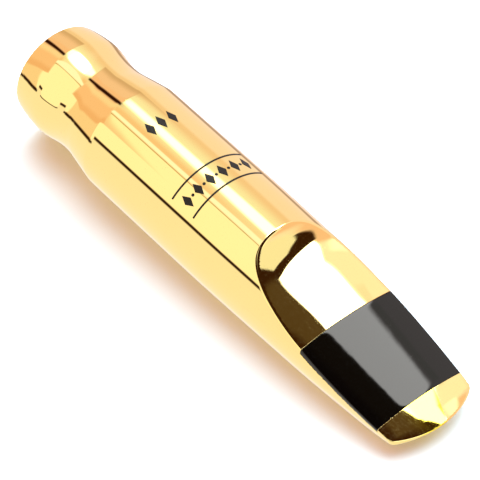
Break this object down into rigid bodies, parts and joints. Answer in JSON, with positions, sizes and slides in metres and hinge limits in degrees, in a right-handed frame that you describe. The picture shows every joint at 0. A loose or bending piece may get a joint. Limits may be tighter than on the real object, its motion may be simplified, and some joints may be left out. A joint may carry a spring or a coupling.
{
  "type": "saxophone mouthpiece",
  "caption": "Tenor-size metal saxophone mouthpiece: turned gold-plated brass body with scooped beak, flat reed table and an inlaid black bite plate.",
  "frame": {"origin": "on the flat reed table, on the centre plane, 40 mm from the shank end", "axes": "+X along the reed table from the shank end to the tip, +Y across the mouthpiece, +Z away from the reed table towards the beak; the bore axis leans 3 degrees from +X"},
  "size_m": [0.0952, 0.02, 0.019],
  "materials": {
    "gold_plated_brass": "polished gold plate",
    "black_plastic": "gloss"
  },
  "bodies": {
    "root": {"mouthpiece_body": "gold_plated_brass", "bite_plate": "black_plastic"}
  },
  "joints": []
}
